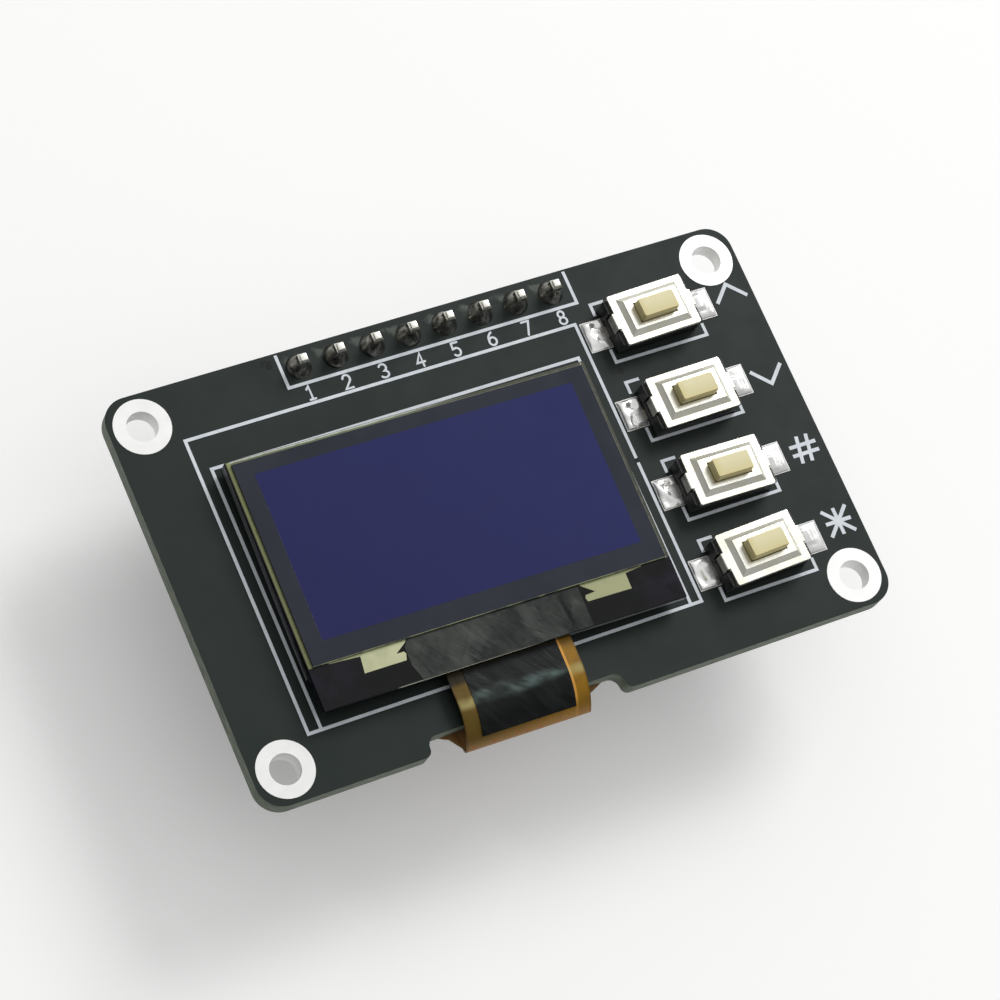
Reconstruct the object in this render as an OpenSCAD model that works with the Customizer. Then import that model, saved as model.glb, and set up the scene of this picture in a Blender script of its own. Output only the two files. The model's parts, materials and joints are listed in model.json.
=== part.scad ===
// Small display module: a printed circuit board with a glass display panel on a folded flex
// cable, an eight-pin header below the board and four push switches beside the panel.
// Millimetres. X runs along the header row, Y points to the header edge, Z points out of the
// display face. The origin is the middle of the four mounting holes on the board's back face.

/* [Board] */
// Board length along the header edge
board_x = 44.1; // [30:0.1:60]
// Board width
board_y = 27.3; // [20:0.1:40]
// Board thickness over both mask layers
board_t = 1.2; // [0.8:0.1:2]
// Corner radius of the board
corner_r = 1.65; // [0.5:0.05:3]
// Mounting hole spacing along X
hole_dx = 39.8; // [20:0.1:50]
// Mounting hole spacing along Y
hole_dy = 23.0; // [10:0.1:30]
// Clear diameter of a mounting hole
hole_d = 2.0; // [1.5:0.1:3.2]
// Diameter of the tinned ring round a hole
ring_d = 3.66; // [2.6:0.02:5]

/* [Cable notch] */
// Middle of the notch along the lower edge
notch_mid = -4.28; // [-8:0.02:4]
// Notch length
notch_w = 13.45; // [9.5:0.05:16]
// Notch depth
notch_depth = 1.17; // [0.6:0.02:2]

/* [Header] */
// Pin spacing
pin_pitch = 2.54; // [2:0.01:2.54]
// Distance from the pin row to the header edge
pin_inset = 1.28; // [1:0.01:3]
// Pin row shift from the middle of the board
pin_shift = -0.14; // [-1:0.01:1]
// Pin length below the plastic strip
pin_drop = 6.0; // [3:0.1:12]
// Height of the pin tips above the board
pin_tip = 1.5; // [0.8:0.05:2.5]

/* [Display panel] */
// Glass length
glass_x = 24.7; // [20:0.1:30]
// Glass width with the bare ledge
glass_y = 16.6; // [14:0.1:20]
// Thickness of the foam tape below the glass
foam_t = 0.4; // [0.2:0.05:1]
// Thickness of the back glass
cap_t = 0.5; // [0.3:0.05:0.8]
// Thickness of the front glass
front_t = 0.58; // [0.3:0.01:0.8]
// Thickness of the polarizer film
film_t = 0.2; // [0.1:0.01:0.3]
// How far the glued panel sits out of square
panel_turn = -0.85; // [-2:0.05:2]

/* [Flex cable] */
// Cable width
flex_w = 8.5; // [6:0.05:9]
// Cable thickness
flex_t = 0.12; // [0.08:0.01:0.2]
// Width of the soldered tail
tail_w = 12; // [9:0.1:13]
// Radius of the upper part of the fold
fold_r = 3.2; // [2:0.1:4]

/* [Push switches] */
// Spacing of the four switches
key_pitch = 5.67; // [5:0.01:7]
// Height of the steel cover above the board
cover_h = 1.65; // [1.2:0.05:2.5]
// How far the middle of the cover is raised
crown_h = 0.3; // [0.1:0.05:0.5]
// Height of the button tops above the board
button_h = 2.65; // [2:0.05:4]
// Button length
button_x = 2.6; // [2:0.05:3]
// Button width
button_y = 1.3; // [1:0.05:1.4]

/* [Hidden] */
$fn = 48;

// Layer heights
mask_t = 0.03;
ink_t = 0.025;
top = board_t;
cap_z = top + foam_t;
front_z = cap_z + cap_t;
film_z = front_z + front_t;
face_z = film_z + film_t;

// Layout
pin_y = board_y / 2 - pin_inset;
pin_x0 = pin_shift - 3.5 * pin_pitch;
panel_at = [-4.29, -1.21];
film_x = 24.04;
film_y = 13.54;
film_mid = 1.23;
lit_at = [0, 1.45];
flex_mid = 0.1;
tail_end = -6.38;
fold_a = 60;
fold_y = -9.97;
fold_z = front_z - fold_r;
turn_r = (front_z + flex_t - fold_r * (1 - cos(fold_a))) / (1 + cos(fold_a));
turn_y = fold_y - (fold_r - turn_r) * sin(fold_a);
turn_z = fold_z + (fold_r - turn_r) * cos(fold_a);
key_x = 14.15;
key_top = 8.76;
key_side = [0, 0.03, -0.03, -0.1];
key_shift = [0.01, -0.36, -0.22, -0.05];
key_turn = [1.5, 0.5, -1.1, 2.2];
pad_x = 14.3;
line_w = 0.21;
cap_at = [[-10.4, -2.6], [-7.4, -2.6], [-1.4, -2.6], [1.6, -2.6], [-7.6, 2.6]];
res_at = [[4.6, -2.6], [-4.4, -2.6], [-4.4, 2.6], [-1.4, 2.6], [1.6, 2.6]];

// Colours
c_fr4 = [0.42, 0.48, 0.41];
c_mask = [0.17, 0.185, 0.18];
c_tin = [0.93, 0.93, 0.9];
c_ink = [0.85, 0.87, 0.89];
c_solder = [0.42, 0.42, 0.41];
c_pin = [0.95, 0.94, 0.88];
c_black = [0.06, 0.06, 0.06];
c_glass = [0.2, 0.2, 0.19];
c_film = [0.2, 0.205, 0.24];
c_lit = [0.2, 0.21, 0.39];
c_trace = [0.75, 0.74, 0.57];
c_tape = [0.24, 0.255, 0.245];
c_amber = [0.52, 0.37, 0.14];
c_steel = [0.94, 0.93, 0.9];
c_button = [0.88, 0.84, 0.66];
c_gold = [0.78, 0.66, 0.42];

// A bar between two points in the plane
module bar(a, b, w) {
    d = b - a;
    translate(a) rotate(atan2(d[1], d[0])) translate([-w / 2, -w / 2]) square([norm(d) + w, w]);
}

// A rectangle with rounded corners, centred
module round_rect(x, y, r) {
    square([x - 2 * r, y], center = true);
    square([x, y - 2 * r], center = true);
    for (i = [-1, 1]) for (j = [-1, 1]) translate([i * (x / 2 - r), j * (y / 2 - r)]) circle(r);
}

// The notch in the lower edge
module notch_2d() {
    r = 0.69;
    w = notch_w;
    translate([notch_mid, -board_y / 2]) {
        translate([-w / 2 + r, -1]) square([w - 2 * r, 1 + notch_depth]);
        translate([-w / 2, -1]) square([w, 1 + notch_depth - r]);
        for (i = [-1, 1]) translate([i * (w / 2 - r), notch_depth - r]) circle(r);
    }
}

// Rounded lips at both ends of the notch
module notch_lips_2d() {
    q = 0.48;
    for (i = [-1, 1]) translate([notch_mid + i * (notch_w / 2 + q), -board_y / 2]) scale([i, 1])
        difference() {
            translate([-q, -0.2]) square([q, q + 0.2]);
            translate([0, q]) circle(q);
        }
}

module at_holes() {
    for (i = [-1, 1]) for (j = [-1, 1]) translate([i * hole_dx / 2, j * hole_dy / 2]) children();
}

module at_pins() {
    for (i = [0 : 7]) translate([pin_x0 + i * pin_pitch, pin_y]) children();
}

// Row positions of the switches and of their printed brackets and pads
function row_y(i) = key_top - i * key_pitch;
function key_y(i) = row_y(i) + key_shift[i];

// A switch's own coordinates: its middle on the pad faces, set down a little off and out of square
module on_key(i) {
    translate([key_x + key_side[i], key_y(i), top + 0.03]) rotate(key_turn[i]) children();
}

module at_key_pads() {
    for (i = [0 : 3]) for (s = [-1, 1]) translate([pad_x + s * 3.85, row_y(i) - 0.06]) children();
}

module board_2d(hole_r) {
    difference() {
        round_rect(board_x, board_y, corner_r);
        notch_2d();
        notch_lips_2d();
        at_holes() circle(hole_r);
    }
}

// Panel coordinates: the middle of the glass, turned as it is glued
module on_panel(z = 0) {
    translate([panel_at[0], panel_at[1], z]) rotate(panel_turn) children();
}

module board_core() {
    color(c_fr4) translate([0, 0, mask_t]) linear_extrude(board_t - 2 * mask_t) difference() {
        board_2d(hole_d / 2 + 0.05);
        at_pins() circle(0.5);
    }
}

module front_mask() {
    color(c_mask) translate([0, 0, top - mask_t]) linear_extrude(mask_t) difference() {
        board_2d(ring_d / 2 + 0.01);
        at_pins() circle(0.82);
        at_key_pads() square([1.62, 2.12], center = true);
    }
}

module back_mask() {
    color(c_mask) linear_extrude(mask_t) difference() {
        board_2d(ring_d / 2 + 0.01);
        at_pins() circle(0.82);
    }
}

module mounting_rings() {
    color(c_tin) at_holes() difference() {
        union() {
            translate([0, 0, top - mask_t]) cylinder(h = 0.06, r = ring_d / 2);
            translate([0, 0, -0.03]) cylinder(h = 0.06, r = ring_d / 2);
            cylinder(h = top, r = hole_d / 2 + 0.05);
        }
        translate([0, 0, -1]) cylinder(h = top + 2, r = hole_d / 2);
    }
}

// Frame lines round the panel and the header
module printed_frames() {
    color(c_ink) translate([0, 0, top]) linear_extrude(ink_t) {
        bar([-17.74, -9.93], [-17.74, 9.84], line_w);
        bar([-17.74, 9.84], [9.4, 9.84], line_w);
        bar([9.4, 9.84], [9.4, 0.28], line_w);
        bar([9.4, -0.24], [9.4, -9.93], line_w);
        bar([-17.74, -9.93], [9.4, -9.93], line_w);
        bar([-16.88, -9.93], [-16.88, 7.63], line_w);
        bar([-16.88, 7.63], [8.64, 7.63], line_w);
        bar([8.64, 7.63], [8.64, -9.93], line_w);
        bar([-10.19, 11.21], [10.16, 11.21], line_w);
        bar([-10.19, 11.21], [-10.19, board_y / 2 - 0.25], line_w);
        bar([10.16, 11.21], [10.16, board_y / 2 - 0.25], line_w);
    }
}

// Corner marks round each switch
module key_brackets() {
    color(c_ink) translate([0, 0, top]) linear_extrude(ink_t) for (i = [0 : 3])
        translate([pad_x, row_y(i)]) {
            bar([-3.36, -2.13], [3.36, -2.13], line_w);
            bar([-3.36, -2.13], [-3.36, -1.3], line_w);
            bar([3.36, -2.13], [3.36, -1.4], line_w);
            bar([-3.36, 2.05], [-3.36, 1.35], line_w);
            bar([-3.36, 2.05], [-2.5, 2.05], line_w);
        }
}

// Up, down, hash and star marks beside the switches
module key_symbols() {
    w = 0.25;
    color(c_ink) translate([0, 0, top]) linear_extrude(ink_t) {
        bar([19.4, 8.5], [20.43, 9.54], w);
        bar([20.43, 9.54], [21.47, 8.5], w);
        bar([19.4, 3.26], [20.43, 2.2], w);
        bar([20.43, 2.2], [21.5, 3.26], w);
        translate([20.52, -2.6]) for (s = [-1, 1]) {
            bar([s * 0.35 - 0.15, -0.8], [s * 0.35 + 0.15, 0.8], w);
            bar([-0.85, s * 0.3], [0.85, s * 0.3], w);
        }
        translate([20.52, -7.84]) for (a = [0, 45, 90, 135]) rotate(a)
            bar([a % 90 == 0 ? -0.8 : -1.15, 0], [a % 90 == 0 ? 0.8 : 1.15, 0], w);
    }
}

module header_strip() {
    p = pin_pitch;
    color(c_black) translate([0, 0, -2.54]) linear_extrude(2.54) difference() {
        at_pins() polygon([
            [-p / 2, -0.77], [-0.8, -1.27], [0.8, -1.27], [p / 2, -0.77],
            [p / 2, 0.77], [0.8, 1.27], [-0.8, 1.27], [-p / 2, 0.77]
        ]);
        at_pins() square(0.64, center = true);
    }
}

// Side outline of a pin with blunt pointed ends
module pin_side() {
    low = -2.54 - pin_drop;
    high = top + pin_tip;
    h = 0.32;
    rotate([90, 0, 0]) linear_extrude(2, center = true) polygon([
        [-0.16, low], [0.16, low], [h, low + 0.5], [h, high - 0.2], [0.21, high],
        [-0.21, high], [-h, high - 0.2], [-h, low + 0.5]
    ]);
}

module header_pins() {
    color(c_pin) at_pins() intersection() {
        pin_side();
        rotate(90) pin_side();
    }
}

module pin_pads() {
    color(c_tin) at_pins() difference() {
        union() {
            translate([0, 0, top - mask_t]) cylinder(h = 0.04, r = 0.8);
            translate([0, 0, 0]) cylinder(h = mask_t, r = 0.8);
            cylinder(h = top, r = 0.5);
        }
        translate([0, 0, -1]) cylinder(h = top + 2, r = 0.47);
    }
}

// Solder cones that climb the pins
module pin_solder() {
    z0 = top + 0.01;
    color(c_solder) at_pins() difference() {
        rotate_extrude() polygon([
            [0, mask_t], [0.47, mask_t], [0.47, z0], [0.74, z0], [0.74, z0 + 0.05],
            [0.66, z0 + 0.28], [0.6, z0 + 0.5], [0.53, z0 + 0.75], [0.47, z0 + 0.98],
            [0, z0 + 0.98]
        ]);
        translate([0, 0, top / 2 + 1]) cube([0.64, 0.64, 6], center = true);
    }
}

module foam_tape() {
    color(c_black) on_panel(top) translate([0, 1.1, foam_t / 2])
        cube([23.4, 13.2, foam_t], center = true);
}

module cap_glass() {
    color(c_glass) on_panel(cap_z) translate([0, 1.2, cap_t / 2])
        cube([glass_x, glass_y - 2.4, cap_t], center = true);
}

module front_glass() {
    color(c_glass) on_panel(front_z) translate([0, 0, front_t / 2])
        cube([glass_x, glass_y, front_t], center = true);
}

module polarizer() {
    color(c_film) on_panel(film_z) difference() {
        translate([0, film_mid, film_t / 2]) cube([film_x, film_y, film_t], center = true);
        translate([lit_at[0], lit_at[1], film_t]) cube([21.744, 11.2, 0.04], center = true);
    }
}

module active_area() {
    color(c_lit) on_panel(face_z - 0.02) translate([lit_at[0], lit_at[1], 0.01])
        cube([21.744, 11.2, 0.02], center = true);
}

module driver_chip() {
    color(c_black) on_panel(front_z - 0.3) translate([0, -6.7, 0.15])
        cube([9.6, 1, 0.3], center = true);
}

// Pale conductor fields on the ledge beside the driver
module trace_fields() {
    color(c_trace) on_panel(film_z) linear_extrude(0.015) {
        polygon([[-11, -5.55], [-5.9, -5.55], [-6, -5.72], [-6.8, -6.24], [-6.28, -6.24],
            [-6.2, -6.4], [-6.34, -6.8], [-9.12, -6.8], [-8.98, -5.72], [-11, -5.6]]);
        polygon([[10.3, -5.55], [5.95, -5.55], [5.99, -5.64], [6.78, -6.24], [6.08, -6.3],
            [6, -6.5], [6.08, -6.72], [9.12, -6.76], [9.13, -5.72], [10.3, -5.6]]);
    }
}

// Dark tape over the driver on the ledge
module ledge_tape() {
    color(c_tape) on_panel(film_z) linear_extrude(0.04)
        polygon([[-5.87, -5.56], [-5.95, -5.76], [-6.17, -6.05], [-6.17, -7.2], [-5.8, -8.27],
            [5.78, -8.27], [5.82, -5.56]]);
}

// A ring sector in the fold's plane, between two angles from the upright
module sector(r_out, r_in, a0, a1) {
    mid = (a0 + a1) / 2;
    far = 2 * r_out;
    intersection() {
        difference() {
            circle(r_out);
            circle(r_in);
        }
        polygon([[0, 0], [-far * sin(a0), far * cos(a0)], [-2 * far * sin(mid), 2 * far * cos(mid)],
            [-far * sin(a1), far * cos(a1)]]);
    }
}

// Across the cable, a shape from the fold's plane
module across(w, y, z) {
    translate([flex_mid - w / 2, y, z]) rotate([90, 0, 90]) linear_extrude(w) children();
}

// A wide arc over the board edge, a tight turn below it and a tail that widens behind
module flex_cable() {
    color(c_amber) on_panel() {
        translate([flex_mid - flex_w / 2, fold_y, front_z - flex_t])
            cube([flex_w, -7.35 - fold_y, flex_t]);
        across(flex_w, fold_y, fold_z) sector(fold_r, fold_r - flex_t, 0, fold_a);
        across(flex_w, turn_y, turn_z) sector(turn_r, turn_r - flex_t, fold_a - 3, 180);
        translate([flex_mid, 0, -flex_t]) linear_extrude(flex_t) polygon([[-flex_w / 2, turn_y],
            [flex_w / 2, turn_y], [flex_w / 2 + 0.6, turn_y + 0.76], [tail_w / 2, turn_y + 1.29],
            [tail_w / 2, tail_end], [-tail_w / 2, tail_end], [-tail_w / 2, turn_y + 1.29],
            [-flex_w / 2 - 0.6, turn_y + 0.76]]);
    }
}

// Black tape that covers the upper side of the cable into the fold
module flex_tape() {
    t = 0.05;
    w = 6.42;
    color(c_black) on_panel() {
        translate([flex_mid - w / 2, fold_y, front_z])
            cube([w, -glass_y / 2 - 0.02 - fold_y, t]);
        across(w, fold_y, fold_z) sector(fold_r + t, fold_r, 0, 47);
    }
}

// Soldered tail of the cable on the back of the board
module flex_joints() {
    color(c_tin) on_panel() for (i = [-7 : 7]) translate([flex_mid + i * 0.62, tail_end, 0])
        difference() {
            translate([0, 0.2, -0.1]) cube([0.34, 1.5, 0.2], center = true);
            translate([0, -0.5, 0]) cube([1, 1, 2 * flex_t], center = true);
        }
}

module key_pads() {
    color(c_tin) translate([0, 0, top - mask_t]) linear_extrude(0.06) at_key_pads()
        square([1.6, 2.1], center = true);
}

// Low mounds of solder over the switch feet, clear of the switch bases
module key_solder() {
    r = 1.55;
    color(c_tin) for (i = [0 : 3]) for (s = [-1, 1]) difference() {
        translate([pad_x + s * 3.85, row_y(i) - 0.06, top + 0.03]) intersection() {
            translate([-s * 0.1, 0, -r + 0.34]) sphere(r, $fn = 96);
            translate([0, 0, 0.5]) cube([1.5, 2.0, 1], center = true);
        }
        on_key(i) foot_shape(s, 0.002);
        on_key(i) translate([-2.97, -1.64, -0.1]) cube([5.94, 3.28, 1]);
    }
}

// One foot strip of a switch, relative to the switch middle and the pad face
module foot_shape(s, gap) {
    x0 = s > 0 ? 0.9 : -3.9;
    x1 = s > 0 ? 3.9 : 0.28;
    translate([x0 - gap, -0.35 - gap, 0.005]) cube([x1 - x0 + 2 * gap, 0.7 + 2 * gap, 0.15 + gap]);
}

// Both strips with the studs that meet the dome's middle and its rim
module contact_shape(gap) {
    for (s = [-1, 1]) foot_shape(s, gap);
    translate([-0.28 - gap, -0.28 - gap, 0.15]) cube([0.56 + 2 * gap, 0.56 + 2 * gap, 0.31]);
    translate([0.92 - gap, -0.28 - gap, 0.15]) cube([0.38 + 2 * gap, 0.56 + 2 * gap, 0.31]);
}

// Height of the cover's flat rim and of its raised middle above the pad face
function rim_z() = cover_h - 0.03;
function crown_z() = rim_z() + crown_h;

// A flat-topped rise with four sloped sides
module crown(x0, y0, x1, y1, h) {
    intersection() {
        rotate([90, 0, 0]) linear_extrude(6, center = true)
            polygon([[-x0 / 2, 0], [x0 / 2, 0], [x1 / 2, h], [-x1 / 2, h]]);
        rotate([90, 0, 90]) linear_extrude(6, center = true)
            polygon([[-y0 / 2, 0], [y0 / 2, 0], [y1 / 2, h], [-y1 / 2, h]]);
    }
}

module key_base(i) {
    color(c_black) on_key(i) difference() {
        translate([-2.95, -1.62, 0.02]) cube([5.9, 3.24, rim_z() - 0.28]);
        translate([-2.2, -1.25, 0.45]) cube([4.4, 2.5, 2]);
        for (s = [-1, 1]) translate([s * 3.1 - 0.45, -0.65, 0.6]) cube([0.9, 1.3, 2]);
        contact_shape(0.001);
    }
}

// A pressed steel plate with a raised middle and a lug bent down at each end
module key_cover(i) {
    color(c_steel) on_key(i) difference() {
        union() {
            translate([0, 0, rim_z() - 0.25]) linear_extrude(0.25) round_rect(5.4, 3.5, 0.12);
            translate([0, 0, rim_z() - 0.01])
                crown(4.42, 2.74, 3.8, 2.06, crown_h + 0.01);
            for (s = [-1, 1]) translate([s * 2.77 - 0.1, -0.55, 0.62])
                cube([0.2, 1.1, rim_z() - 0.62]);
        }
        translate([-1.76, -0.86, 0.5]) cube([3.52, 1.72, crown_z() - 0.65]);
        translate([0, 0, rim_z()]) cube([button_x + 0.1, button_y + 0.1, 2], center = true);
    }
}

module key_button(i) {
    h = button_h - 0.03;
    z1 = crown_z() - 0.18;
    color(c_button) on_key(i) {
        translate([0, 0, z1 - 0.1]) linear_extrude(h - z1) round_rect(button_x, button_y, 0.16);
        translate([0, 0, h - 0.1]) linear_extrude(0.1) round_rect(button_x - 0.1, button_y - 0.1, 0.12);
        translate([-1.68, -0.8, z1 - 0.35]) cube([3.36, 1.6, 0.35]);
        translate([0, 0, 0.87]) cylinder(h = z1 - 1.17, r = 0.5);
    }
}

module key_dome(i) {
    r = 2.3;
    color(c_steel) on_key(i) translate([0, 0, 0.47]) intersection() {
        translate([0, 0, 0.385 - r]) difference() {
            sphere(r, $fn = 96);
            sphere(r - 0.08, $fn = 96);
        }
        cylinder(h = 1, r = 1.15);
    }
}

module key_contacts(i) {
    color(c_gold) on_key(i) contact_shape(0);
}

module regulator_body() {
    color(c_black) translate([-11.6, 2.6, -1.15]) translate([-1.45, -0.65, 0]) cube([2.9, 1.3, 1.0]);
}

// A lead that leaves the body at mid-height and steps down to its pad
module lead() {
    rotate([90, 0, 90]) linear_extrude(0.4, center = true) polygon([
        [0.65, -0.56], [0.97, -0.56], [0.97, 0], [1.25, 0], [1.25, 0.12], [0.85, 0.12],
        [0.85, -0.44], [0.65, -0.44]
    ]);
}

module regulator_leads() {
    color(c_tin) translate([-11.6, 2.6, -0.15]) {
        for (x = [-0.95, 0.95]) translate([x, 0, 0]) rotate(180) lead();
        lead();
    }
}

module capacitors() {
    color([0.62, 0.5, 0.38]) for (p = cap_at) translate([p[0], p[1], -0.44])
        cube([1.0, 0.8, 0.8], center = true);
}

module resistors() {
    color(c_black) for (p = res_at) translate([p[0], p[1], -0.27])
        cube([1.0, 0.8, 0.46], center = true);
}

module chip_ends() {
    color(c_tin) {
        for (p = cap_at) for (s = [-1, 1]) translate([p[0] + s * 0.65, p[1], -0.44])
            cube([0.3, 0.82, 0.82], center = true);
        for (p = res_at) for (s = [-1, 1]) translate([p[0] + s * 0.65, p[1], -0.27])
            cube([0.3, 0.82, 0.48], center = true);
    }
}

module back_pads() {
    color(c_tin) translate([0, 0, -0.03]) linear_extrude(0.03) {
        for (p = cap_at) for (s = [-1, 1]) translate([p[0] + s * 0.85, p[1]])
            square([0.8, 0.95], center = true);
        for (p = res_at) for (s = [-1, 1]) translate([p[0] + s * 0.85, p[1]])
            square([0.8, 0.95], center = true);
        for (q = [[-12.55, 1.5], [-10.65, 1.5], [-11.6, 3.7]]) translate(q)
            square([0.8, 0.9], center = true);
    }
}

board_core();
front_mask();
back_mask();
mounting_rings();
printed_frames();
key_brackets();
key_symbols();
header_strip();
header_pins();
pin_pads();
pin_solder();
foam_tape();
cap_glass();
front_glass();
polarizer();
active_area();
driver_chip();
trace_fields();
ledge_tape();
flex_cable();
flex_tape();
flex_joints();
key_pads();
key_solder();
key_base(0);  // base_1
key_cover(0);  // cover_1
key_button(0);  // button_1
key_dome(0);  // dome_1
key_contacts(0);  // contacts_1
key_base(1);  // base_2
key_cover(1);  // cover_2
key_button(1);  // button_2
key_dome(1);  // dome_2
key_contacts(1);  // contacts_2
key_base(2);  // base_3
key_cover(2);  // cover_3
key_button(2);  // button_3
key_dome(2);  // dome_3
key_contacts(2);  // contacts_3
key_base(3);  // base_4
key_cover(3);  // cover_4
key_button(3);  // button_4
key_dome(3);  // dome_4
key_contacts(3);  // contacts_4
regulator_body();
regulator_leads();
capacitors();
resistors();
chip_ends();
back_pads();
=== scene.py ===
import json
import math

import bmesh
import bpy
from mathutils import Matrix, Vector, noise

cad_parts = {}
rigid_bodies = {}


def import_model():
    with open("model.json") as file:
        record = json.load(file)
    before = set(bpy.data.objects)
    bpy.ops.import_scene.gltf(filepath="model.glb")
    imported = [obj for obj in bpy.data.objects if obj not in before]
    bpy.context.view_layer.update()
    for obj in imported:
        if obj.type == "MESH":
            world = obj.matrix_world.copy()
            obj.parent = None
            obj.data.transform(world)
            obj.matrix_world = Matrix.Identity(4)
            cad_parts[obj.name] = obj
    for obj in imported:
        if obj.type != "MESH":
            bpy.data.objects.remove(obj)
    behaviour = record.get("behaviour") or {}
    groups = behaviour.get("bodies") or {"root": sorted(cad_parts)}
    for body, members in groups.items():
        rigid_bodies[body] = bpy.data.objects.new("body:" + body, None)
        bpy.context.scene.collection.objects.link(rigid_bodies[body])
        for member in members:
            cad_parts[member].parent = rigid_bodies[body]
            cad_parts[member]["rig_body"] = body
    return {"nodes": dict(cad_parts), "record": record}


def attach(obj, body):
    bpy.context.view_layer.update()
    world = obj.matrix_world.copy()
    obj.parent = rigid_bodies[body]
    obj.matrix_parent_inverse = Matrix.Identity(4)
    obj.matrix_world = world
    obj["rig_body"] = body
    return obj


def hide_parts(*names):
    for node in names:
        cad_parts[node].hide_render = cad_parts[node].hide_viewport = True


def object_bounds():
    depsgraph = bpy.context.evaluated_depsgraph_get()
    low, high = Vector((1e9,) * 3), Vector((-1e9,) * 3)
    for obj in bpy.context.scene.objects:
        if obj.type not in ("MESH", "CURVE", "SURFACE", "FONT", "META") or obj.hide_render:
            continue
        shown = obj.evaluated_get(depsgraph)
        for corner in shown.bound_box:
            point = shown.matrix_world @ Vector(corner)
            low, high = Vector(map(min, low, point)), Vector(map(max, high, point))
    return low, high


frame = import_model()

cad_low, cad_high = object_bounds()

MM = 0.001
NODES = frame["nodes"]
SCENE = bpy.context.scene
SLOT_OF = {s["node"]: s["material_slot"] for s in frame["record"]["subparts"]}

# Sizes shared with the solid model, in millimetres and radians
TOP = 1.2  # board's front face
PANEL_AT = (-4.29, -1.21)  # middle of the display glass
PANEL_TURN = math.radians(-0.85)
GLASS_X, GLASS_Y = 24.7, 16.6
GLASS_Z = 2.68  # front of the display glass
FILM_X, FILM_LOW, FILM_HIGH = 24.04, -5.54, 8.0  # dark film, measured from the glass's middle
FIELD_X, FIELD_CELLS = 21.744, 128  # lit field of the display
TAPE_LOW, TAPE_HIGH, TAPE_RIGHT = -8.27, -5.56, 5.8  # tape on the ledge
# The tape's torn left end, as y and x from the lower edge up
TAPE_TORN = ((-8.27, -5.8), (-7.2, -6.17), (-6.05, -6.17), (-5.76, -5.95), (-5.56, -5.87))
CABLE_MID = 0.1  # middle of the flex cable, across the panel
PIN_COUNT, PIN_X0, PIN_Y, PITCH = 8, -9.03, 12.37, 2.54  # header pins, the first one on the left
PAD_X, PAD_OUT = 14.3, 3.85  # middle of the switch pads, and how far out each pad lies
KEY_X = 14.15  # middle of the switches
KEY_ROWS = [8.76 - 5.67 * i for i in range(4)]
KEY_SIDE = (0, 0.03, -0.03, -0.1)  # how far each switch sits off its place, across and along
KEY_SHIFT = (0.01, -0.36, -0.22, -0.05)
KEY_TURN = [math.radians(a) for a in (1.5, 0.5, -1.1, 2.2)]

# Marks that only the scene draws, in millimetres and radians
VIAS = ((9.38, -0.01), (10.99, 5.98))
DARK_SPOT_AT = (-10.95, 13.05)
CREASE_TURN = 0.95
NUMBER_BASE, NUMBER_TALL, NUMBER_STROKE = 10.07, 0.92, 0.14


# ---------------------------------------------------------------- node helpers

def srgb(r, g, b):
    """A colour written in 0-255 display values, as linear RGBA."""
    def lin(c):
        c /= 255
        return c / 12.92 if c <= 0.04045 else ((c + 0.055) / 1.055) ** 2.4
    return (lin(r), lin(g), lin(b), 1)


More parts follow.
